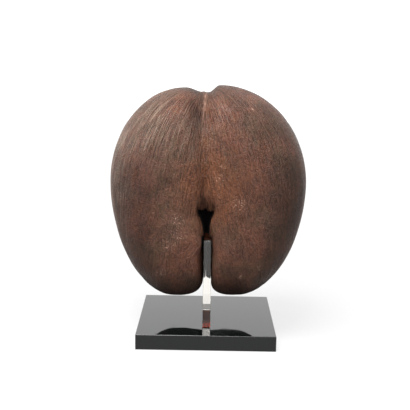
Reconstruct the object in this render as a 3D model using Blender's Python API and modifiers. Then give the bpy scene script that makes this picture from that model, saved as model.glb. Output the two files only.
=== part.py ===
"""A coco de mer, the double nut of the sea coconut palm, on a display stand.

The nut hangs astride the top edge of a clear upright slab, which stands on a black square base.
Metres, +Z up. The origin is the centre of the base's underside, +X is to the right and -Y is the front.
"""

import math

import bmesh
import bpy
import numpy as np

# Base: a square block with its edges just broken
BASE_SIDE = 0.180
BASE_THICK = 0.020
BASE_CHAMFER = 0.0006

# Upright: a slab on edge that runs front to back in the slot between the lobes
UPRIGHT_THICK = 0.0105
UPRIGHT_DEPTH = 0.118
UPRIGHT_TOP = 0.137
UPRIGHT_X = 0.0004
UPRIGHT_CHAMFER = 0.0004
GAP = 0.0003

# Nut as a whole. Its depth is full above FULL_DEPTH_Z and draws in below it to the lobe tips
NUT_MIDDLE_Y = 0.008
HALF_DEPTH = 0.085
FULL_DEPTH_Z = 0.190
DEPTH_POWER = 3.3
CORE_Z = 0.230

# Each lobe, left then right: its reach to the side and the height of that widest place, its shoulder and tip
# as (x, z), where its flat wall stands in the slot, and how high above the tip and how squarely that wall
# starts to round in to it
LOBES = {
    -1: {
        "reach": -0.1313,
        "widest": 0.208,
        "shoulder": (-0.0305, 0.3297),
        "tip": (-0.0457, 0.0528),
        "wall": -0.0080,
        "round": 0.026,
        "round_power": 2.0,
    },
    +1: {
        "reach": 0.1312,
        "widest": 0.2035,
        "shoulder": (0.0160, 0.3334),
        "tip": (0.0416, 0.0544),
        "wall": 0.0067,
        "round": 0.022,
        "round_power": 2.1,
    },
}

# Roundness of the lobes: 2 is an ellipse, more is squarer
SHOULDER_POWER = 1.98
HIP_POWER = 1.92
OUTSIDE_POWER = 2.15

# Crotch: a low arch that rests on the upright's two top corners, with the slot's walls below it.
# At each share of the way to the tip: how far over to the wall it has come, and how far down
CROTCH_Z = UPRIGHT_TOP + 0.0010
CROTCH_WAY = (0, 0.20, 0.38, 0.50, 0.62, 0.80)
CROTCH_ACROSS = (0, 0.55, 0.93, 1, 1, 0.96)
CROTCH_DOWN = (0, 0, 0.0009, 0.0105, 0.031)

# Squareness of a lobe's slot side, front and back, at shares of the way to the tip, where it rounds off
SLOT_WAY = (0, 0.3, 0.5, 0.8, 0.93, 1)
SLOT_FRONT_POWERS = (5, 7, 9, 8, 4, 2.2)
SLOT_BACK_POWERS = (5, 7, 9, 10, 7, 2.2)

# Furrow down the front: its line swings over to the pocket between the two turn heights, and it is
# deepest by this share more above the two deep heights
FURROW_X = -0.006
FURROW_DEPTH = 0.0040
FURROW_HALF = 0.010
FURROW_TURN = (0.170, 0.220)
FURROW_DEEP = (0.260, 0.310)
FURROW_DEEPER = 1.3

# Neck: the one height at which both lobes meet in the furrow, before the notch is sunk into it
NECK_Z = 0.3312

# Notch on top, with a level floor this wide each way and its climb to the left and the right lobe over its
# reaches, and groove down the back, which fades out towards the slot
NOTCH_X = -0.0040
NOTCH_DEPTH = 0.0082
NOTCH_FLOOR = 0.003
NOTCH_REACH = (0.027, 0.017)
GROOVE_DEPTH = 0.024
GROOVE_HALF = 0.030
GROOVE_FADE = (0.110, 0.170)

# Valley where the lobes are joined: a share of the nut's depth, over a share of the way to the tips
VALLEY_SHARE = 0.07
VALLEY_HALF = 0.16

# Pocket at the crotch: a dark hollow under the furrow's end, narrowing to a waist above the slot
POCKET_X = -0.0015
POCKET_TOP = 0.178
POCKET_HALF = 0.0108
POCKET_DEPTH = 0.026
POCKET_LIP = 0.006
WAIST_Z = 0.146
WAIST_HALF = 0.0040

# Back of the slot, where the lobes' inner edges lean together behind the upright and bend aside
LEAN_START = 0.0655
LEAN_FULL = 0.0720
LEAN_LOW = (0.048, 0.060)
LEAN_HIGH = (0.140, 0.180)
LEAN_CLEAR = 0.0008
LEAN_REACH = 0.033
LEAN_BEND = 0.0035
LEAN_BEND_RUN = 0.012

# Grid of the nut's skin: rings from lobe tip to lobe tip, and points round each ring
RINGS = 76
RING_POINTS = 60

COLOURS = {
    "nut": ((0.100, 0.052, 0.032, 1.0), 0.55),
    "upright": ((0.900, 0.920, 0.920, 0.30), 0.05),
    "base": ((0.006, 0.006, 0.007, 1.0), 0.06),
}


def clear_scene():
    """Removes whatever the file holds, so that the model stands alone."""
    for thing in list(bpy.data.objects):
        bpy.data.objects.remove(thing, do_unlink=True)


def finish_material(name):
    """The finish of one piece, named for it."""
    colour, roughness = COLOURS[name]
    material = bpy.data.materials.new(name)
    material.use_nodes = True
    shader = material.node_tree.nodes["Principled BSDF"]
    shader.inputs["Base Color"].default_value = colour
    shader.inputs["Alpha"].default_value = colour[3]
    shader.inputs["Roughness"].default_value = roughness
    shader.inputs["Metallic"].default_value = 0.0
    return material


def rise(x, low, high):
    """0 below low and 1 above high, with a soft step between."""
    f = np.clip((x - low) / (high - low), 0.0, 1.0)
    return f * f * (3 - 2 * f)


def bump(x, half, power=2.0):
    """1 at x = 0, fading on both sides over about the half width. A higher power gives a flatter top."""
    return np.exp(-((np.abs(x) / half) ** power))


def smooth_through(x, places, values):
    """A smooth curve through a few hand-set values, which eases through each of them."""
    places, values = np.asarray(places, float), np.asarray(values, float)
    slopes = np.gradient(values, places)
    i = np.clip(np.searchsorted(places, x, side="right") - 1, 0, len(places) - 2)
    step = places[i + 1] - places[i]
    f = (x - places[i]) / step
    start = (2 * f**3 - 3 * f**2 + 1) * values[i] + (f**3 - 2 * f**2 + f) * step * slopes[i]
    end = (3 * f**2 - 2 * f**3) * values[i + 1] + (f**3 - f**2) * step * slopes[i + 1]
    return start + end


def superellipse(angle, power):
    """Distance from the centre of a unit superellipse to its edge, at an angle. Power 2 is a circle."""
    return (np.abs(np.sin(angle)) ** power + np.abs(np.cos(angle)) ** power) ** (-1 / power)


def arc(angle, centre, reach, height, power):
    """A superellipse arc: angle 0 is at the centre's height end, a quarter turn is out at its reach."""
    size = superellipse(angle, power)
    return centre[0] + reach * size * np.sin(angle), centre[1] + height * size * np.cos(angle)


def outer_edge(way, lobe):
    """The lobe's outline seen from the front: from the neck out to the shoulder, an arc down to the widest
    place, and a longer arc in to the tip. way is 0 in the furrow and 1 at the tip."""
    shoulder_x, shoulder_z = lobe["shoulder"]
    tip_x, tip_z = lobe["tip"]
    shoulder_way = 0.11
    angle = np.clip((way - shoulder_way) / (1 - shoulder_way), 0, 1) * math.pi
    shoulder_arc = arc(angle, (shoulder_x, lobe["widest"]), lobe["reach"] - shoulder_x,
                       shoulder_z - lobe["widest"], SHOULDER_POWER)
    hip_arc = arc(angle, (tip_x, lobe["widest"]), lobe["reach"] - tip_x, lobe["widest"] - tip_z, HIP_POWER)
    x, z = np.where(angle < math.pi / 2, shoulder_arc, hip_arc)
    x = np.where(way < shoulder_way, FURROW_X + (shoulder_x - FURROW_X) * way / shoulder_way, x)
    z = NECK_Z + (z - NECK_Z) * rise(way, 0, shoulder_way)
    return x, z


def inner_edge(way, lobe):
    """The lobe's other side: along the crotch, round into the slot, down its flat wall and under to the
    tip."""
    tip_x, tip_z = lobe["tip"]
    round_z = tip_z + lobe["round"]
    across = POCKET_X + np.array(CROTCH_ACROSS) * (lobe["wall"] - POCKET_X)
    down = np.append(CROTCH_DOWN, CROTCH_Z - round_z)
    x = smooth_through(way, CROTCH_WAY, across)
    z = smooth_through(way, CROTCH_WAY, CROTCH_Z - down)
    wall_end = CROTCH_WAY[-1]
    turn = np.clip((1 - way) / (1 - wall_end), 0, 1) * math.pi / 2
    under_x, under_z = arc(turn, (tip_x, round_z), across[-1] - tip_x, -lobe["round"], lobe["round_power"])
    return np.where(way > wall_end, under_x, x), np.where(way > wall_end, under_z, z)


def lobe_skin(way, around, lobe):
    """Points of one lobe. A ring lies in a plane that fans round the crotch, and is a rounded D between the
    inner and the outer edge. around is the angle about the lobe: 0 on its outer edge, a quarter turn in
    front."""
    outer = np.stack(outer_edge(way, lobe))
    inner = np.stack(inner_edge(way, lobe))
    centre, spoke = (outer + inner) / 2, (outer - inner) / 2

    # The long rings near the furrow have their points drawn towards the two edges, where they turn the most
    gather = 0.55
    spread = gather + (1 - gather) * rise(way, 0.0, 0.55)
    angle = np.arctan2(spread * np.sin(around), np.cos(around))
    slot_power = np.where(np.sin(angle) > 0, smooth_through(way, SLOT_WAY, SLOT_FRONT_POWERS),
                          smooth_through(way, SLOT_WAY, SLOT_BACK_POWERS))
    size = superellipse(angle, np.where(np.cos(angle) > 0, OUTSIDE_POWER, slot_power))

    low = np.clip((FULL_DEPTH_Z - centre[1]) / (FULL_DEPTH_Z - lobe["tip"][1]), 0, 1)
    depth = HALF_DEPTH * (1 - low**DEPTH_POWER) ** (1 / DEPTH_POWER)
    depth *= 1 - VALLEY_SHARE * bump(way, VALLEY_HALF)
    x, z = centre + size * np.cos(angle) * spoke
    y = NUT_MIDDLE_Y - size * np.sin(angle) * depth
    return np.stack((x, y, z), -1)


def sink_furrows(points):
    """Sinks the furrow, the notch and the back groove towards the nut's core, a line that runs side to side.
    Each counts only where the skin faces its way: forwards, up or back."""
    x, y, z = points.T
    away = np.stack((y - NUT_MIDDLE_Y, z - CORE_Z))
    back, up = away / np.linalg.norm(away, axis=0)
    off = x - FURROW_X - (POCKET_X - FURROW_X) * (1 - rise(z, *FURROW_TURN))
    furrow = FURROW_DEPTH * (1 + FURROW_DEEPER * rise(z, *FURROW_DEEP)) * bump(off, FURROW_HALF, 1.5)
    notch_reach = np.where(x < NOTCH_X, *NOTCH_REACH)
    notch = NOTCH_DEPTH * (1 - rise(np.abs(x - NOTCH_X), NOTCH_FLOOR, notch_reach))
    groove = GROOVE_DEPTH * rise(z, *GROOVE_FADE) * bump(off, GROOVE_HALF, 1.4)
    depth = furrow * rise(-back, 0, 0.7) + notch * rise(up, 0.5, 1.0) + groove * rise(back, 0, 0.7)
    points[:, 1] -= back * depth
    points[:, 2] -= up * depth


def hollow_pocket(points):
    """Pushes the front of the crotch back into a pocket, widest just under its lip."""
    x, y, z = points.T
    half = smooth_through(np.clip(z, WAIST_Z, POCKET_TOP), (WAIST_Z, POCKET_TOP - POCKET_LIP, POCKET_TOP),
                          (WAIST_HALF, POCKET_HALF, POCKET_HALF * 0.8))
    under_lip = 1 - rise(z, POCKET_TOP - POCKET_LIP, POCKET_TOP + POCKET_LIP)
    over_slot = rise(z, CROTCH_Z - 0.008, CROTCH_Z + 0.002)
    front = rise(NUT_MIDDLE_Y - y, 0.03, 0.055)
    points[:, 1] += POCKET_DEPTH * under_lip * over_slot * front * bump(x - POCKET_X, half, 2.5)


def lean_together(points):
    """Draws the lobes' inner edges almost together behind the upright: what lies near the slot's middle plane
    moves up to it, and the rest of the lobe's back is stretched to follow. Last of all the slot bends
    aside."""
    x, y, z = points.T
    from_middle = x - POCKET_X
    near = 1 - rise(np.abs(from_middle), LEAN_REACH / 3, LEAN_REACH)
    share = near * rise(z, *LEAN_LOW) * (1 - rise(z, *LEAN_HIGH)) * rise(y, LEAN_START, LEAN_FULL)
    points[:, 0] -= share * np.sign(from_middle) * np.maximum(np.abs(from_middle) - LEAN_CLEAR, 0)
    points[:, 0] += share * LEAN_BEND * rise(y, LEAN_FULL, LEAN_FULL + LEAN_BEND_RUN)


def nut_skin(along, around):
    """Points of the whole nut. along runs from -1 at the left lobe's tip to +1 at the right lobe's tip."""
    points = np.zeros((along.size, 3))
    for side, lobe in LOBES.items():
        here = along < 0 if side < 0 else along >= 0
        points[here] = lobe_skin(np.abs(along[here]), around[here], lobe)
    sink_furrows(points)
    hollow_pocket(points)
    lean_together(points)
    return points


def make_nut():
    """The nut: a sphere whose poles become the lobe tips and whose rings are laid round the two lobes."""
    shape = bmesh.new()
    bmesh.ops.create_uvsphere(shape, u_segments=RING_POINTS, v_segments=RINGS, radius=1.0)
    ball = np.array([vertex.co for vertex in shape.verts])
    along = np.round(np.arcsin(np.clip(ball[:, 2], -1, 1)) * 2 / math.pi, 6)
    around = np.arctan2(ball[:, 1], ball[:, 0])
    for vertex, place in zip(shape.verts, nut_skin(along, around)):
        vertex.co = place
    bmesh.ops.recalc_face_normals(shape, faces=shape.faces)
    mesh = bpy.data.meshes.new("nut")
    shape.to_mesh(mesh)
    shape.free()
    mesh.shade_smooth()
    return bpy.data.objects.new("nut", mesh)


def make_block(name, size, centre, chamfer):
    """A polished block with its edges just broken."""
    shape = bmesh.new()
    bmesh.ops.create_cube(shape, size=1.0)
    bmesh.ops.scale(shape, vec=size, verts=shape.verts)
    mesh = bpy.data.meshes.new(name)
    shape.to_mesh(mesh)
    shape.free()
    block = bpy.data.objects.new(name, mesh)
    block.location = centre
    bevel = block.modifiers.new("broken edges", "BEVEL")
    bevel.width = chamfer
    bevel.segments = 1
    return block


def main():
    clear_scene()
    parts = bpy.data.collections.new("coco_de_mer")
    bpy.context.scene.collection.children.link(parts)

    upright_foot = BASE_THICK + GAP
    upright_size = (UPRIGHT_THICK, UPRIGHT_DEPTH, UPRIGHT_TOP - upright_foot)
    upright_centre = (UPRIGHT_X, 0, (UPRIGHT_TOP + upright_foot) / 2)
    base_size = (BASE_SIDE, BASE_SIDE, BASE_THICK)
    pieces = (
        make_nut(),
        make_block("upright", upright_size, upright_centre, UPRIGHT_CHAMFER),
        make_block("base", base_size, (0, 0, BASE_THICK / 2), BASE_CHAMFER),
    )
    for piece in pieces:
        parts.objects.link(piece)
        piece.data.materials.append(finish_material(piece.name))


main()
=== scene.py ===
"""A coco de mer on its display stand: a black square base, a clear upright slab on edge, and the double nut
that hangs astride the slab. Metres, +Z up, the front is -Y."""

import math

import bpy
import numpy as np
from mathutils import Matrix, Vector


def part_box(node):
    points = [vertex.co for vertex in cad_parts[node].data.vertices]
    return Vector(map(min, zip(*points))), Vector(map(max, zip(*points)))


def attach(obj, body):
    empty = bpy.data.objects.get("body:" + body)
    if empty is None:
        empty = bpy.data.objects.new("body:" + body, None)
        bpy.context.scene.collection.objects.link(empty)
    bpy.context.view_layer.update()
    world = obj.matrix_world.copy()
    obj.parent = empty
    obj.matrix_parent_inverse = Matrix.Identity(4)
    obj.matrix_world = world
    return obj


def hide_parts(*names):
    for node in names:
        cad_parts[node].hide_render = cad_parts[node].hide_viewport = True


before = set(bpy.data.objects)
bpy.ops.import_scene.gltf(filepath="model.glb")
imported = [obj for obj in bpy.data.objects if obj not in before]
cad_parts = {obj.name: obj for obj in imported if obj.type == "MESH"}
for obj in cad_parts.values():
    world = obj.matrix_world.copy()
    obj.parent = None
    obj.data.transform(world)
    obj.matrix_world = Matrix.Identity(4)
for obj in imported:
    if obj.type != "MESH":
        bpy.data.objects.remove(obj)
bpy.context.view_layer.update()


# Base: a square block cut from 20 mm black cast acrylic, all six faces polished to a mirror and the edges
# only just broken. Nothing fixes it: it lies on the shelf by its own weight.
BASE_EDGE = 0.0006
EDGE_STEPS = 3


def linear(code):
    """A colour given as sRGB hex, as the linear red, green, blue and alpha that a shader takes."""
    part = np.array([int(code[i:i + 2], 16) for i in (1, 3, 5)]) / 255
    return (*np.where(part <= 0.04045, part / 12.92, ((part + 0.055) / 1.055) ** 2.4), 1.0)


def add_node(material, kind, inputs=None, **settings):
    """Adds a node with its settings. Each input is a plain value, or another node's output to link from."""
    tree = material.node_tree
    node = tree.nodes.new(kind)
    for name, value in settings.items():
        setattr(node, name, value)
    for name, value in (inputs or {}).items():
        if isinstance(value, bpy.types.NodeSocket):
            tree.links.new(value, node.inputs[name])
        else:
            node.inputs[name].default_value = value
    return node


def start_material(name):
    """An empty material, and the output node that its shader goes to."""
    material = bpy.data.materials.new(name)
    material.use_nodes = True
    material.node_tree.nodes.clear()
    return material, add_node(material, "ShaderNodeOutputMaterial")


def add_piece(name, points, faces, material, smooth=True):
    """A mesh object at the origin, from arrays of points and of faces, with its place in its mesh."""
    mesh = bpy.data.meshes.new(name)
    mesh.from_pydata(points.tolist(), [], [tuple(face) for face in faces])
    mesh.polygons.foreach_set("use_smooth", np.full(len(mesh.polygons), smooth))
    mesh.materials.append(material)
    mesh.update()
    piece = bpy.data.objects.new(name, mesh)
    bpy.context.scene.collection.objects.link(piece)
    return piece


def polished_block(name, low, high, edge, material):
    """A block between two corners. Its eight corners are every choice of low or high along x, y and z, and
    its edges are rounded to the given radius. Its faces are left, right, front, back, underside and top."""
    choice = np.indices((2, 2, 2)).reshape(3, 8).T
    points = np.where(choice == 1, high, low)
    faces = ((0, 1, 3, 2), (4, 6, 7, 5), (0, 4, 5, 1), (2, 3, 7, 6), (0, 2, 6, 4), (1, 5, 7, 3))
    block = add_piece(name, points, faces, material)
    rounding = block.modifiers.new("broken edges", "BEVEL")
    rounding.width = edge
    rounding.segments = EDGE_STEPS
    rounding.harden_normals = True
    return block


# Black cast acrylic, flame and buff polished: near black inside, with the sharp reflections of a clear
# surface. Wiping leaves a very faint haze in patches, which shows only in the reflections. Real dust is under
# 0.1 mm, too fine to show, so its few specks are drawn 1.2 mm wide.
WIPED_PATCH, DUST_SPECK = 0.030, 0.0012
black_acrylic, finish = start_material("black_cast_acrylic_polished")
place = add_node(black_acrylic, "ShaderNodeTexCoord").outputs["Object"]
haze = add_node(black_acrylic, "ShaderNodeTexNoise",
                {"Vector": place, "Scale": 1 / WIPED_PATCH, "Detail": 4.0})
haze = add_node(black_acrylic, "ShaderNodeMapRange",
                {"Value": haze.outputs["Fac"], "From Min": 0.4, "From Max": 0.7, "To Min": 0.01,
                 "To Max": 0.09})
dust = add_node(black_acrylic, "ShaderNodeTexNoise",
                {"Vector": place, "Scale": 1 / DUST_SPECK, "Detail": 1.0})
dust = add_node(black_acrylic, "ShaderNodeMapRange",
                {"Value": dust.outputs["Fac"], "From Min": 0.72, "From Max": 0.80})
tint = add_node(black_acrylic, "ShaderNodeMix",
                {"Factor": dust.outputs["Result"], 6: linear("#050606"), 7: linear("#2a2a2b")},
                data_type="RGBA")
gloss = add_node(black_acrylic, "ShaderNodeBsdfPrincipled",
                 {"Base Color": tint.outputs[2], "Roughness": haze.outputs["Result"], "IOR": 1.43})
black_acrylic.node_tree.links.new(gloss.outputs[0], finish.inputs["Surface"])

base_low, base_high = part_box("base")
base = polished_block("base_block", base_low, base_high, BASE_EDGE, black_acrylic)
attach(base, "root")
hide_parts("base")


# Upright: a slab of clear cast acrylic, 10.5 mm thick, that stands on edge, front to back, with every face
# polished. Solvent cement fixes its foot to the base.
SLAB_EDGE = 0.0009

# Clear cast acrylic, cut and flame polished: seen through without a veil, with a barely warm tint and a
# bright line along each edge.
clear_acrylic, finish = start_material("clear_cast_acrylic_polished")
glass = add_node(clear_acrylic, "ShaderNodeBsdfPrincipled",
                 {"Base Color": linear("#fcf8f2"), "Roughness": 0.012, "IOR": 1.49,
                  "Transmission Weight": 1.0})
clear_acrylic.node_tree.links.new(glass.outputs[0], finish.inputs["Surface"])

# Solvent cement in a film under the slab's foot: dull and dark brown, and red brown towards the front end,
# which shows through the clear slab.
CEMENT_BROWN_Y, CEMENT_RED_FRONT_Y = -0.014, -0.036
cement, finish = start_material("solvent_cement_film")
place = add_node(cement, "ShaderNodeTexCoord").outputs["Object"]
front_end = add_node(cement, "ShaderNodeSeparateXYZ", {0: place})
front_end = add_node(cement, "ShaderNodeMapRange",
                     {"Value": front_end.outputs["Y"], "From Min": CEMENT_BROWN_Y,
                      "From Max": CEMENT_RED_FRONT_Y}, interpolation_type="SMOOTHSTEP")
tint = add_node(cement, "ShaderNodeMix",
                {"Factor": front_end.outputs[0], 6: linear("#4e2a1a"), 7: linear("#6e2208")},
                data_type="RGBA")
film = add_node(cement, "ShaderNodeBsdfPrincipled",
                {"Base Color": tint.outputs[2], "Roughness": 1.0, "Specular IOR Level": 0.0})
cement.node_tree.links.new(film.outputs[0], finish.inputs["Surface"])

slab_low, slab_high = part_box("upright")
upright = polished_block("upright_slab", slab_low, slab_high, SLAB_EDGE, clear_acrylic)
upright.data.materials.append(cement)
underside = upright.data.polygons[4]
underside.material_index = 1
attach(upright, "root")
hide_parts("upright")


# Nut: the ripe double nut with its husk off, one hard shell of dark fibres pressed together. Two lobes are
# grown together above the crotch, and the slot between them sits over the upright, where the nut hangs by its
# own weight.
NUT_MIDDLE_Y = 0.008      # half way from its front to its back
HALF_DEPTH = 0.085        # from there to its front, at its deepest
FULL_DEPTH_Z = 0.190      # it is as deep as that from here up, and rounds off below
DEPTH_POWER = 3.3         # how squarely it rounds off
CORE_Z = 0.230            # height of its core, a line that runs side to side
FURROW_X = -0.006         # the furrow, the groove behind, and the neck between the lobes' tops
NECK_Z = 0.3312
NOTCH_X = -0.0040         # the deepest place of the notch in the neck
POCKET_X = -0.0015        # the crotch, the pocket over it and the slot under it
CROTCH_Z = slab_high[2] + 0.0010

# Each lobe has its outermost x and the height of that, the x and z of its shoulder's top and of its lowest
# tip, the x of its flat wall in the slot, and how far over the tip its round end starts and how squarely it
# turns.
LEFT_LOBE = {"reach": -0.1313, "widest": 0.208, "shoulder": (-0.0305, 0.3297), "tip": (-0.0457, 0.0528),
             "wall": -0.0080, "round": 0.026, "round_power": 2.0}
RIGHT_LOBE = {"reach": 0.1312, "widest": 0.2035, "shoulder": (0.0160, 0.3334), "tip": (0.0416, 0.0544),
              "wall": 0.0062, "round": 0.022, "round_power": 2.1}
SIDES = ((-1, LEFT_LOBE), (1, RIGHT_LOBE))


def rise(x, low, high):
    """0 below low and 1 above high, with a cubic step between that starts and ends level."""
    f = np.clip((x - low) / (high - low), 0.0, 1.0)
    return f * f * (3 - 2 * f)


def bump(x, half, power=2.0):
    """1 at x = 0, and e to the minus (distance / half width) ** power on both sides of it. A higher power
    gives a flatter top."""
    return np.exp(-((np.abs(x) / half) ** power))


def smooth_through(x, places, values):
    """A smooth curve through a few set values: a cubic between each two, with slopes taken from their
    neighbours."""
    places, values = np.asarray(places, float), np.asarray(values, float)
    slopes = np.gradient(values, places)
    i = np.clip(np.searchsorted(places, x, side="right") - 1, 0, len(places) - 2)
    step = places[i + 1] - places[i]
    f = (x - places[i]) / step
    start = (2 * f**3 - 3 * f**2 + 1) * values[i] + (f**3 - 2 * f**2 + f) * step * slopes[i]
    end = (3 * f**2 - 2 * f**3) * values[i + 1] + (f**3 - f**2) * step * slopes[i + 1]
    return start + end


def superellipse(angle, power):
    """Distance at an angle from the centre to the edge of |x| ** power + |y| ** power = 1. Power 2 is a
    circle, and a high one nearly a square."""
    return (np.abs(np.sin(angle)) ** power + np.abs(np.cos(angle)) ** power) ** (-1 / power)


def arc(angle, centre, reach, height, power):
    """A superellipse arc: angle 0 is at the centre's height end, a quarter turn is out at its reach."""
    size = superellipse(angle, power)
    return centre[0] + reach * size * np.sin(angle), centre[1] + height * size * np.cos(angle)


# The outline's level top takes this share of the way from the furrow to the tip, and its two arcs are almost
# elliptic.
SHOULDER_WAY = 0.11
SHOULDER_POWER, HIP_POWER = 1.98, 1.92


def outer_edge(way, lobe):
    """The lobe's outline seen from the front: level from the furrow to the shoulder, an arc down to the
    widest place, and a longer arc in to the tip. way is 0 in the furrow and 1 at the tip."""
    shoulder_x, shoulder_z = lobe["shoulder"]
    tip_x, tip_z = lobe["tip"]
    angle = np.clip((way - SHOULDER_WAY) / (1 - SHOULDER_WAY), 0, 1) * math.pi
    shoulder_arc = arc(angle, (shoulder_x, lobe["widest"]), lobe["reach"] - shoulder_x,
                       shoulder_z - lobe["widest"], SHOULDER_POWER)
    hip_arc = arc(angle, (tip_x, lobe["widest"]), lobe["reach"] - tip_x, lobe["widest"] - tip_z, HIP_POWER)
    x, z = np.where(angle < math.pi / 2, shoulder_arc, hip_arc)
    x = np.where(way < SHOULDER_WAY, FURROW_X + (shoulder_x - FURROW_X) * way / SHOULDER_WAY, x)
    z = NECK_Z + (z - NECK_Z) * rise(way, 0, SHOULDER_WAY)
    return x, z


# The inner edge at set ways along it: its share of the way from the pocket's middle out to the lobe's wall,
# and its drop below the crotch. At the last of these ways the lobe's round end starts.
INNER_WAYS = (0, 0.20, 0.38, 0.50, 0.62, 0.80)
INNER_SHARES = np.array((0, 0.55, 0.93, 1, 1, 0.96))
INNER_DROPS = (0, 0, 0.0009, 0.0105, 0.031)


def inner_edge(way, lobe):
    """The lobe's other side: along the crotch, round into the slot, down its flat wall and under to the
    tip."""
    tip_x, tip_z = lobe["tip"]
    round_z = tip_z + lobe["round"]
    across = POCKET_X + INNER_SHARES * (lobe["wall"] - POCKET_X)
    down = np.array((*INNER_DROPS, CROTCH_Z - round_z))
    x = smooth_through(way, INNER_WAYS, across)
    z = smooth_through(way, INNER_WAYS, CROTCH_Z - down)
    wall_end = INNER_WAYS[-1]
    turn = np.clip((1 - way) / (1 - wall_end), 0, 1) * math.pi / 2
    under_x, under_z = arc(turn, (tip_x, round_z), across[-1] - tip_x, -lobe["round"], lobe["round_power"])
    return np.where(way > wall_end, under_x, x), np.where(way > wall_end, under_z, z)


# How squarely the rings turn at set ways from the furrow to the tip: along the slot they are nearly square,
# more so in front than behind, and at the tip round. Their outer half is nearly a half circle all the way.
RING_WAYS = (0, 0.3, 0.5, 0.8, 0.93, 1)
FRONT_POWERS = (12, 12, 12, 11, 5, 2.2)
BACK_POWERS = (5, 7, 9, 10, 7, 2.2)
OUTER_POWER = 2.15
NECK_GATHER = 0.55        # below 1, a ring's points at the neck crowd towards its top and the crotch
NECK_THINNING = 0.07      # share of its depth that the nut loses at the neck


def lobe_skin(way, around, lobe):
    """Points of one lobe. A ring lies in a plane that fans round the crotch, and is a rounded D between the
    inner and the outer edge. around is the angle about the lobe: 0 on its outer edge, a quarter turn in
    front."""
    outer = np.stack(outer_edge(way, lobe))
    inner = np.stack(inner_edge(way, lobe))
    centre, spoke = (outer + inner) / 2, (outer - inner) / 2
    spread = NECK_GATHER + (1 - NECK_GATHER) * rise(way, 0.0, 0.55)
    angle = np.arctan2(spread * np.sin(around), np.cos(around))
    slot_power = np.where(np.sin(angle) > 0, smooth_through(way, RING_WAYS, FRONT_POWERS),
                          smooth_through(way, RING_WAYS, BACK_POWERS))
    size = superellipse(angle, np.where(np.cos(angle) > 0, OUTER_POWER, slot_power))
    low = np.clip((FULL_DEPTH_Z - centre[1]) / (FULL_DEPTH_Z - lobe["tip"][1]), 0, 1)
    depth = HALF_DEPTH * (1 - low**DEPTH_POWER) ** (1 / DEPTH_POWER) * (1 - NECK_THINNING * bump(way, 0.16))
    x, z = centre + size * np.cos(angle) * spoke
    y = NUT_MIDDLE_Y - size * np.sin(angle) * depth
    return np.stack((x, y, z), -1)


# The furrow in front has its depth at set heights. The groove behind is three times as wide. The notch has a
# flat bottom, and reaches further to the left than to the right.
FURROW_HEIGHTS = (0.17, 0.20, 0.23, 0.26, 0.29, 0.31)
FURROW_DEPTHS = (0.0044, 0.0036, 0.0018, 0.0022, 0.0060, 0.0092)
FURROW_HALF, FURROW_POWER = 0.010, 1.5
GROOVE_DEPTH, GROOVE_HALF, GROOVE_POWER = 0.024, 0.030, 1.4
NOTCH_DEPTH, NOTCH_FLAT, NOTCH_LEFT, NOTCH_RIGHT = 0.0075, 0.003, 0.027, 0.017
SEAM_RIDGE_X, SEAM_RIDGE_HALF, SEAM_RIDGE_HEIGHT = -0.0078, 0.0028, 0.0011


def sink_furrows(points):
    """Sinks the furrow, the notch and the back groove towards the nut's core. Each counts only where the skin
    faces its way: forwards, up or back. A low ridge stands in the notch, where the seam comes up."""
    x, y, z = points.T
    away = np.stack((y - NUT_MIDDLE_Y, z - CORE_Z))
    back, up = away / np.linalg.norm(away, axis=0)
    off = x - FURROW_X - (POCKET_X - FURROW_X) * (1 - rise(z, 0.170, 0.220))
    height = np.clip(z, FURROW_HEIGHTS[0], FURROW_HEIGHTS[-1])
    furrow = smooth_through(height, FURROW_HEIGHTS, FURROW_DEPTHS) * bump(off, FURROW_HALF, FURROW_POWER)
    notch_reach = np.where(x < NOTCH_X, NOTCH_LEFT, NOTCH_RIGHT)
    notch = NOTCH_DEPTH * (1 - rise(np.abs(x - NOTCH_X), NOTCH_FLAT, notch_reach))
    notch -= SEAM_RIDGE_HEIGHT * bump(x - SEAM_RIDGE_X, SEAM_RIDGE_HALF)
    groove = GROOVE_DEPTH * rise(z, 0.110, 0.170) * bump(off, GROOVE_HALF, GROOVE_POWER)
    depth = furrow * rise(-back, 0, 0.7) + notch * rise(up, 0.5, 1.0) + groove * rise(back, 0, 0.7)
    points[:, 1] -= back * depth
    points[:, 2] -= up * depth


# The x of the pocket's left and right edge at set heights, from the slab's top up to the lip
POCKET_HEIGHTS = (0.138, 0.144, 0.151, 0.158, 0.166, 0.1745, 0.186)
POCKET_LEFT = (-0.0034, -0.0038, -0.0049, -0.0062, -0.0089, -0.0117, -0.0100)
POCKET_RIGHT = (0.0015, 0.0017, 0.0020, 0.0027, 0.0041, 0.0073, 0.0060)


def pocket_mouth(points):
    """How far inside the pocket's mouth each point is: positive within it, in metres from its edge across.
    The mouth is a wedge, wide at its lip and narrowing to a crevice between the lobes just above the slab."""
    height = np.clip(points[:, 2], POCKET_HEIGHTS[0], POCKET_HEIGHTS[-1])
    left = smooth_through(height, POCKET_HEIGHTS, POCKET_LEFT)
    right = smooth_through(height, POCKET_HEIGHTS, POCKET_RIGHT)
    return (right - left) / 2 - np.abs(points[:, 0] - (left + right) / 2)


LEFT_WALL_IN = 0.0026                 # how far the left wall comes in to the slab's face
LEFT_PINCH, RIGHT_PINCH = 0.85, 0.25  # share of the gap in front of the slab that each wall closes
PINCH_FREE = 0.0040                   # half of the gap that stays open whatever the pinch
CLOSED_TO_RIGHT = 0.0035              # how far to the right the closed slot ends up at the very back


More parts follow.
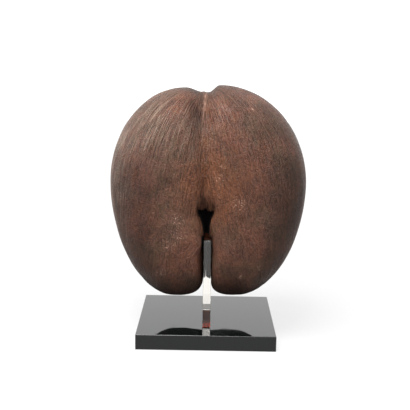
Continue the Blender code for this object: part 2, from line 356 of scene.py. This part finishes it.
def close_slot(points):
    """Brings the left wall up to the slab's face behind its front edge and pinches both walls in front of its
    top, then draws the lobes' inner edges together behind the slab: what lies near the slot's middle plane
    moves up to it, and the rest of the lobe's back is stretched to follow."""
    x, y, z = points.T
    from_middle = x - POCKET_X
    near = 1 - rise(np.abs(from_middle), 0.011, 0.033)
    below_crotch = 1 - rise(z, CROTCH_Z - 0.012, CROTCH_Z)
    before_slab = 1 - rise(y, -0.0635, -0.0610)
    by_its_top = rise(z, 0.118, 0.138) * (1 - rise(z, CROTCH_Z, CROTCH_Z + 0.014))
    x += LEFT_WALL_IN * (from_middle < 0) * rise(y, -0.060, -0.035) * near * below_crotch
    pinch = np.where(from_middle < 0, LEFT_PINCH, RIGHT_PINCH)
    pinch = pinch * np.maximum(np.abs(from_middle) - PINCH_FREE, 0) * before_slab * near * by_its_top
    x -= pinch * np.sign(from_middle)
    from_middle = x - POCKET_X
    closed = near * rise(z, 0.046, 0.058) * (1 - rise(z, 0.140, 0.180)) * rise(y, 0.0605, 0.0650)
    x -= closed * np.sign(from_middle) * np.maximum(np.abs(from_middle) - 0.0002, 0)
    x += closed * CLOSED_TO_RIGHT * rise(y, 0.0720, 0.0840)


def hills(across, down, seed):
    """Smooth random hills and hollows from -1 to 1 on a grid of unit squares: a random height at each corner,
    eased between the four corners round a point."""
    heights = np.random.default_rng(seed).uniform(-1, 1, (256, 256))
    i, j = np.floor(across).astype(int), np.floor(down).astype(int)
    u, v = rise(across - i, 0, 1), rise(down - j, 0, 1)
    i, j, i_next, j_next = i % 256, j % 256, (i + 1) % 256, (j + 1) % 256
    near = heights[i, j] * (1 - u) + heights[i_next, j] * u
    far = heights[i, j_next] * (1 - u) + heights[i_next, j_next] * u
    return near * (1 - v) + far * v


FIBRE_TOP_Z = 0.324       # where all the fibres meet, in the notch
WAIST_RADIUS = 0.080      # of a lobe, for the distance across the fibres


def fibre_course(points, along):
    """Where each point lies on the shell's fibres, which run like meridians from the notch to each lobe's
    tip: the distance across them at the lobe's waist, the distance down from the notch, and which lobe."""
    notch = np.array((FURROW_X, NUT_MIDDLE_Y, FIBRE_TOP_Z))
    course = np.zeros_like(points)
    for side, lobe in SIDES:
        here = (along < 0) == (side < 0)
        tip = np.array((lobe["tip"][0], NUT_MIDDLE_Y, lobe["tip"][1]))
        axis = (tip - notch) / np.linalg.norm(tip - notch)
        outwards = side * np.array((-axis[2], 0, axis[0]))
        away = points[here] - notch
        angle = np.arctan2(-away[:, 1], away @ outwards)
        course[here] = np.stack((WAIST_RADIUS * angle, away @ axis, np.full(here.sum(), float(side))), -1)
    course[:, 2] *= rise(np.abs(points[:, 0] - FURROW_X), 0, 0.012)
    return course


# The skin's points, ring by ring from the left tip (along = -1) over the furrow to the right tip (1), closer
# together near the furrow. The two tips come last.
RINGS, RING_POINTS, RING_CROWDING = 214, 440, 1.25
even = np.linspace(-1, 1, RINGS + 2)[1:-1]
along = np.repeat(np.sign(even) * np.abs(even) ** RING_CROWDING, RING_POINTS)
around = np.tile(np.arange(RING_POINTS) * 2 * math.pi / RING_POINTS, RINGS)
along = np.append(along, (-1, 1))
around = np.append(around, (0, 0))
skin = np.zeros((along.size, 3))
for side, lobe in SIDES:
    here = (along < 0) == (side < 0)
    skin[here] = lobe_skin(np.abs(along[here]), around[here], lobe)
sink_furrows(skin)
course = fibre_course(skin, along)

# Pocket over the crotch: sunk deep inside a ragged lip, with its sides rolled off into it
LIP_Z, LIP_RAGGED, LIP_TUFT = 0.1768, 0.0030, 0.0026
POCKET_DEPTH, ROLL_OFF_DEPTH, ROLL_OFF_WIDTH = 0.030, 0.0045, 0.0055
x, y, z = skin.T
inside = pocket_mouth(skin)
facing = rise(NUT_MIDDLE_Y - y, 0.03, 0.055)
lip = LIP_Z + LIP_RAGGED * hills(x / LIP_TUFT, np.zeros_like(x), 11)
mouth = rise(inside, -0.0006, 0.0006) * (1 - rise(z, lip - 0.0012, lip + 0.0012)) * facing
over_slot = rise(z, CROTCH_Z - 0.001, CROTCH_Z + 0.007)
pocket = mouth * over_slot
roll_off = np.clip(1 + inside / ROLL_OFF_WIDTH, 0, 1) ** 2 * over_slot * facing
roll_off *= 1 - rise(z, 0.172, 0.190)

# Relief of the shell: the fibres' ridges, broad low swellings, and a narrow wandering crease down the furrow,
# deepest just over the pocket. Each row of ridges has its height, width, length and seed. The shifts give
# each lobe, and the front and the back, hills of their own.
RIDGE_ROWS = ((0.00016, 0.0042, 0.080, 1), (0.00022, 0.0110, 0.110, 2))
SWELL_HEIGHT, SWELL_WIDTH, SWELL_LENGTH = 0.00050, 0.024, 0.030
LOBE_SHIFT, BACK_SHIFT = 40, 8
CREASE_HALF, CREASE_POWER, CREASE_LOW_DEPTH, CREASE_TOP_DEPTH = 0.0019, 1.7, 0.0014, 0.0003
CREASE_LEFT, CREASE_WANDER, CREASE_WAVE = 0.0008, 0.0007, 0.011
grid = skin[:-2].reshape(RINGS, RING_POINTS, 3)
run_along = np.gradient(grid, axis=0)
run_around = (np.roll(grid, -1, axis=1) - np.roll(grid, 1, axis=1)) / 2
normal = np.cross(run_around, run_along).reshape(-1, 3)
normal /= np.linalg.norm(normal, axis=1, keepdims=True) + 1e-12
normal = np.append(normal, ((0, 0, -1), (0, 0, -1)), axis=0)
across, down, lobe_side = course.T
clear_of_ends = rise(np.hypot(x - FURROW_X, z - FIBRE_TOP_Z), 0.010, 0.060) * rise(z, 0.052, 0.075)
ridges = sum(height * hills(across / width + LOBE_SHIFT * lobe_side, down / length, seed)
             for height, width, length, seed in RIDGE_ROWS)
swells = SWELL_HEIGHT * hills(x / SWELL_WIDTH, z / SWELL_LENGTH + BACK_SHIFT * (y > NUT_MIDDLE_Y), 3)
off_crease = x - FURROW_X + CREASE_LEFT - (POCKET_X - FURROW_X) * (1 - rise(z, 0.170, 0.200))
off_crease -= CREASE_WANDER * np.sin(z / CREASE_WAVE)
crease = CREASE_LOW_DEPTH * (1 - rise(z, 0.185, 0.225))
crease += CREASE_TOP_DEPTH * rise(z, 0.270, 0.290) * (1 - rise(z, 0.300, 0.322))
crease *= bump(off_crease, CREASE_HALF, CREASE_POWER)
crease *= rise(NUT_MIDDLE_Y - y, 0.020, 0.050) * rise(z, 0.165, 0.185)
relief = (ridges + swells) * clear_of_ends * (1 - pocket) - crease
skin += normal * relief[:, None]
skin[:, 1] += POCKET_DEPTH * pocket + ROLL_OFF_DEPTH * roll_off
close_slot(skin)

# Faces: four-sided between neighbouring rings, and three-sided from the first and last ring to the tips
ring = np.arange(RINGS - 1)[:, None] * RING_POINTS
point = np.arange(RING_POINTS)
next_point = (point + 1) % RING_POINTS
next_ring = ring + RING_POINTS
quads = np.stack((ring + point, ring + next_point, next_ring + next_point, next_ring + point), -1)
last_ring = (RINGS - 1) * RING_POINTS
left_tip = np.full(RING_POINTS, RINGS * RING_POINTS)
right_tip = left_tip + 1
left_cap = np.stack((left_tip, next_point, point), -1)
right_cap = np.stack((right_tip, last_ring + point, last_ring + next_point), -1)
faces = quads.reshape(-1, 4).tolist() + left_cap.tolist() + right_cap.tolist()

# Palm nut shell, rubbed smooth by hands: dark red-brown fibre bundles pressed side by side, with paler
# strands at the surface, mottled olive and rust patches, and the dull gloss of old handling. A real fibre is
# 0.3 to 0.5 mm across, too fine to show on a whole nut, so hairs and strands are drawn 1.1 and 1.8 mm wide.
# Their bundles, really about 1 mm, are drawn 3.2 mm wide, and specks and flecks, really 0.5 mm, 1.8 mm wide.
shell, finish = start_material("palm_shell_rubbed_smooth")
place = add_node(shell, "ShaderNodeTexCoord").outputs["Object"]
grain, marks_and_painted_light, stains_and_painted_shade = (add_node(shell, "ShaderNodeAttribute", attribute_name=name).outputs["Vector"]
                        for name in ("grain", "marks_and_painted_light", "stains_and_painted_shade"))
hair_and_sheen_share, seam_share, dark_share = add_node(shell, "ShaderNodeSeparateXYZ", {0: marks_and_painted_light}).outputs
warm_share, shade_share, scrape_share = add_node(shell, "ShaderNodeSeparateXYZ", {0: stains_and_painted_shade}).outputs


def shell_pattern(vector, size, detail, low, high):
    """Noise with spots of a given size along the vector's three numbers, spread from 0 to 1 between low and
    high."""
    scaled = add_node(shell, "ShaderNodeMapping",
                      {"Vector": vector, "Scale": [1 / length for length in size]})
    noise = add_node(shell, "ShaderNodeTexNoise",
                     {"Vector": scaled.outputs[0], "Scale": 1.0, "Detail": detail, "Roughness": 0.6})
    return add_node(shell, "ShaderNodeMapRange",
                    {"Value": noise.outputs["Fac"], "From Min": low, "From Max": high},
                    interpolation_type="SMOOTHSTEP").outputs["Result"]


def weighted_sum(start, *terms):
    """A start value plus some values, each times its weight."""
    total = start
    for value, weight in terms:
        total = add_node(shell, "ShaderNodeMath", {0: value, 1: weight, 2: total},
                         operation="MULTIPLY_ADD").outputs[0]
    return total


def laid_over(under, colour, share, *weights):
    """A colour laid over the one under it, as thickly as the product of a share and its weights."""
    for weight in weights:
        share = add_node(shell, "ShaderNodeMath", {0: share, 1: weight}, operation="MULTIPLY").outputs[0]
    return add_node(shell, "ShaderNodeMix", {"Factor": share, 6: under, 7: linear(colour)},
                    data_type="RGBA").outputs[2]


# Sizes along the grain are across the fibres, along them, and a third that only keeps the lobes apart
LOBES_APART = 0.25
bundles = shell_pattern(grain, (0.0032, 0.024, LOBES_APART), 2.0, 0.38, 0.62)
strands = shell_pattern(grain, (0.0018, 0.0060, LOBES_APART), 1.0, 0.43, 0.57)
long_strands = shell_pattern(grain, (0.0018, 0.045, LOBES_APART), 1.0, 0.40, 0.60)
hairs = shell_pattern(grain, (0.0011, 0.030, LOBES_APART), 1.0, 0.62, 0.72)
clouds = shell_pattern(place, (0.060, 0.060, 0.060), 2.0, 0.38, 0.62)
patches = shell_pattern(place, (0.024, 0.024, 0.024), 1.0, 0.38, 0.62)
blotches = shell_pattern(place, (0.011, 0.011, 0.011), 3.0, 0.40, 0.60)
specks = shell_pattern(place, (0.0018, 0.0018, 0.0018), 1.0, 0.43, 0.57)
flecks = shell_pattern(place, (0.0018, 0.0018, 0.0018), 1.0, 0.61, 0.68)

# Colour of the shell: olive brown with rust clouds, redder blotches and a warm middle
shell_colour = laid_over(linear("#352419"), "#402519", clouds)
shell_colour = laid_over(shell_colour, "#3e251f", blotches, 0.50)
shell_colour = laid_over(shell_colour, "#4c2a15", warm_share, 0.58)

# Its light and dark from fibre to fibre and patch to patch
fibre_tone = weighted_sum(0.0, (bundles, 0.27), (strands, 0.36))
tone = weighted_sum(0.36, (fibre_tone, 1.0), (specks, 0.26), (patches, 0.28))
shell_colour = add_node(shell, "ShaderNodeVectorMath", {0: shell_colour, "Scale": tone},
                        operation="SCALE").outputs[0]

# Over it: grey specks, pale strands and hairs, with a painted rim light and a painted highlight of them on
# the left, the pale seam, scrapes, painted shade on the flanks and ends, and brown painted shade over the
# pocket that turns black inside the pocket and the slot
shell_colour = laid_over(shell_colour, "#5a463e", specks, 0.10)
shell_colour = laid_over(shell_colour, "#6a5d50", long_strands, hair_and_sheen_share, 0.42)
shell_colour = laid_over(shell_colour, "#7f6c5f", hairs, hair_and_sheen_share, 0.80)
shell_colour = laid_over(shell_colour, "#6a5044", seam_share, weighted_sum(0.35, (strands, 1.0)))
shell_colour = laid_over(shell_colour, "#96796a", scrape_share, weighted_sum(0.06, (flecks, 1.0)))
shell_colour = laid_over(shell_colour, "#0e0604", shade_share, 0.90)
shell_colour = laid_over(shell_colour, "#1f0d04", dark_share, weighted_sum(0.35, (bundles, 1.0)))
shell_colour = laid_over(shell_colour, "#050202", weighted_sum(-1.0, (dark_share, 1.0)))

# Dull gloss, duller still in the dark places, and a low IOR, because fibres scatter much of what a solid
# surface would reflect
roughness = weighted_sum(0.33, (specks, 0.19), (shade_share, 0.35), (dark_share, 0.30))
fine_relief = weighted_sum(0.0, (fibre_tone, 1.0), (specks, 0.35), (long_strands, 0.25),
                           (long_strands, hair_and_sheen_share))
skin_bump = add_node(shell, "ShaderNodeBump", {"Height": fine_relief, "Strength": 1.0, "Distance": 0.0011})
surface = add_node(shell, "ShaderNodeBsdfPrincipled",
                   {"Base Color": shell_colour, "Roughness": roughness, "IOR": 1.21,
                    "Normal": skin_bump.outputs[0]})
shell.node_tree.links.new(surface.outputs[0], finish.inputs["Surface"])

# Hairs: a few all over and more on the shoulders, with a painted rim light of pale strands down the left
# flank and a painted highlight of them on the left shoulder
x, y, z = skin.T
hairs_and_painted_sheen = 0.08 + 0.29 * rise(z, 0.21, 0.27) * (1 - 0.65 * rise(x, -0.03, 0.04))
hairs_and_painted_sheen += 0.85 * (1 - rise(x, -0.122, -0.092))
hairs_and_painted_sheen += 0.75 * bump(np.hypot(x + 0.070, z - 0.296), 0.020) * facing

# Seam: a pale line in the top of the furrow, wider where it turns over into the notch
seam_off = x + 0.0076 - 0.0022 * rise(z, 0.29, 0.32)
seam = 0.8 * bump(seam_off, 0.0013 + 0.0013 * rise(z, 0.30, 0.322))
seam *= rise(z, 0.268, 0.310) * rise(NUT_MIDDLE_Y - y, -0.02, 0.03)

# Painted shade: over the pocket and up the crease, and deepest in the pocket itself and on the slot's walls
# and arch beside and over the slab. Each part of the shade over the pocket has its strength, distance off its
# middle, half width and power, and the heights between which it ends.
shade_over_pocket_parts = ((1.20, x + 0.0025, 0.0105, 4, 0.179, 0.192),
                (0.75, x + 0.0080, 0.0195, 3, 0.184, 0.210),
                (0.80, off_crease, 0.0028, 2, 0.192, 0.240))
shade_over_pocket_and_crease = sum(strength * bump(across, half, power) * (1 - rise(z, full_z, end_z))
             for strength, across, half, power, full_z, end_z in shade_over_pocket_parts)
shade_over_pocket_and_crease *= facing * rise(z, 0.165, 0.175)
beside_slab = (np.abs(x - POCKET_X) < 0.0095) * rise(y, -0.066, -0.060) * (1 - rise(y, 0.056, 0.060))
slot_walls = beside_slab * rise(z, 0.116, 0.128) * (1 - rise(z, 0.160, 0.170))
slot_arch = (1 - rise(np.abs(x - POCKET_X), 0.0050, 0.0068)) * facing
slot_arch *= (1 - rise(z, 0.1430, 0.1460)) * rise(z, 0.126, 0.132)
unlit = mouth * rise(z, 0.126, 0.132) + np.maximum(slot_walls, slot_arch)
dark = 3.0 * unlit + np.minimum(shade_over_pocket_and_crease, 1.0)

# Warm in the middle of the front, and painted shade at the lobes' ends, beside the furrow's top and on the
# lower flanks, with the right lobe's front a little darker all over
warm = bump(np.hypot(x - 0.004, (z - 0.205) * 0.8), 0.045, 3) * facing
ends = 1 - rise(z + 0.010 * hills(x / 0.020, y / 0.020, 13), 0.056, 0.110)
by_furrow = 0.55 * bump(x + 0.0180, 0.0095, 3) * facing
by_furrow *= rise(z, 0.235, 0.285) * (1 - rise(z, 0.316, 0.326))
flanks = 0.48 * rise(np.abs(x), 0.045, 0.090) * facing * (1 - rise(z, 0.225, 0.265))
right_front = 0.14 * rise(x, 0.010, 0.045) * facing
shade = np.maximum.reduce((ends, by_furrow, flanks, right_front))

# Scrapes on the front, each with its x, z, half width and paleness: scuffed patches beside the crotch and on
# the flanks, and four small nicks
SCRAPES = ((-0.0385, 0.1660, 0.0080, 0.7), (-0.0370, 0.1480, 0.0095, 0.5), (-0.0490, 0.1330, 0.0080, 0.5),
           (-0.0600, 0.0960, 0.0070, 0.5), (0.0400, 0.1870, 0.0095, 0.5), (0.0150, 0.2180, 0.0075, 0.4),
           (0.0175, 0.2340, 0.0030, 0.8), (0.0540, 0.3045, 0.0017, 3.5), (0.0435, 0.0930, 0.0016, 7.0),
           (0.0660, 0.1040, 0.0020, 2.5))
scrapes = np.maximum.reduce([paleness * bump(np.hypot(x - scrape_x, z - scrape_z), half, 3) * facing
                             for scrape_x, scrape_z, half, paleness in SCRAPES])


def store(piece, name, *columns):
    """Stores three numbers at each point of a piece's mesh, under the name that its material reads."""
    values = np.stack(columns, -1)
    piece.data.attributes.new(name, "FLOAT_VECTOR", "POINT").data.foreach_set("vector", values.ravel())


nut = add_piece("nut_shell", skin, faces, shell)
store(nut, "grain", *course.T)
store(nut, "marks_and_painted_light", hairs_and_painted_sheen, seam, dark)
store(nut, "stains_and_painted_shade", warm, shade, scrapes)
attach(nut, "root")
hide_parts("nut")


# Studio: a white paper sweep that glows a little less near the stand, under a white surround that is bright
# behind it and dim behind the camera. One soft light is high in front on the left, a larger one is in front,
# and a weak one is on the left.
FLOOR_HALF = 4.0
paper, finish = start_material("white_paper_sweep")
place = add_node(paper, "ShaderNodeTexCoord").outputs["Object"]
distance = add_node(paper, "ShaderNodeVectorMath", {0: place}, operation="LENGTH")
glow = add_node(paper, "ShaderNodeMapRange",
                {"Value": distance.outputs["Value"], "From Min": 0.3, "From Max": 1.6, "To Min": 0.78,
                 "To Max": 1.0}, interpolation_type="SMOOTHSTEP")
sheet = add_node(paper, "ShaderNodeBsdfPrincipled",
                 {"Base Color": linear("#4e4e4e"), "Roughness": 1.0, "Specular IOR Level": 0.0,
                  "Emission Color": linear("#ffffff"), "Emission Strength": glow.outputs[0]})
paper.node_tree.links.new(sheet.outputs[0], finish.inputs["Surface"])
corners = np.array(((-1, -1, 0), (1, -1, 0), (1, 1, 0), (-1, 1, 0))) * FLOOR_HALF
floor = add_piece("floor", corners, ((0, 1, 2, 3),), paper, smooth=False)

world = bpy.data.worlds.new("white_surround")
world.use_nodes = True
background = world.node_tree.nodes["Background"]
way_out = add_node(world, "ShaderNodeTexCoord").outputs["Generated"]
sky = add_node(world, "ShaderNodeSeparateXYZ", {0: way_out})
sky = add_node(world, "ShaderNodeMapRange",
               {"Value": sky.outputs["Y"], "From Min": -0.3, "From Max": 0.8, "To Min": 0.32, "To Max": 1.45},
               interpolation_type="SMOOTHSTEP")
background.inputs["Color"].default_value = linear("#ffffff")
world.node_tree.links.new(sky.outputs[0], background.inputs["Strength"])
bpy.context.scene.world = world
bpy.context.scene.view_settings.view_transform = "Standard"


def add_softbox(name, place, aim, side, watts):
    """A square area light at a place, turned to face the aim: its own -Z points along the line to it."""
    lamp = bpy.data.lights.new(name, "AREA")
    lamp.size = side
    lamp.energy = watts
    light = bpy.data.objects.new(name, lamp)
    bpy.context.scene.collection.objects.link(light)
    way = Vector(aim) - Vector(place)
    light.matrix_world = Matrix.Translation(place) @ way.to_track_quat("-Z", "Y").to_matrix().to_4x4()


add_softbox("key_softbox", (-0.30, -0.55, 1.55), (0, 0, 0.2), 0.8, 84.0)
add_softbox("front_softbox", (0.00, -2.0, 0.95), (0, 0, 0.15), 1.6, 62.0)
add_softbox("side_softbox", (-1.4, 0.35, 0.70), (0, 0, 0.2), 0.6, 14.0)


# Camera: where the photograph was taken from, about a metre in front and a little above, tilted down. Its
# focal length is in pixels of the picture, and its turn, tilt and roll are in degrees.
SENSOR, PICTURE_WIDTH, FOCAL_LENGTH = 36.0, 410, 809
CAMERA_PLACE = (0, -1.075, 0.3613)
TURN_LEFT, TILT_DOWN, ROLL = 0.21, 9.93, 0.90
camera_data = bpy.data.cameras.new("camera")
camera_data.sensor_width = SENSOR
camera_data.lens = SENSOR * FOCAL_LENGTH / PICTURE_WIDTH
camera = bpy.data.objects.new("camera", camera_data)
bpy.context.scene.collection.objects.link(camera)
camera.matrix_world = (Matrix.Translation(CAMERA_PLACE) @ Matrix.Rotation(math.radians(TURN_LEFT), 4, "Z")
                       @ Matrix.Rotation(math.radians(90 - TILT_DOWN), 4, "X")
                       @ Matrix.Rotation(math.radians(ROLL), 4, "Z"))
bpy.context.scene.camera = camera
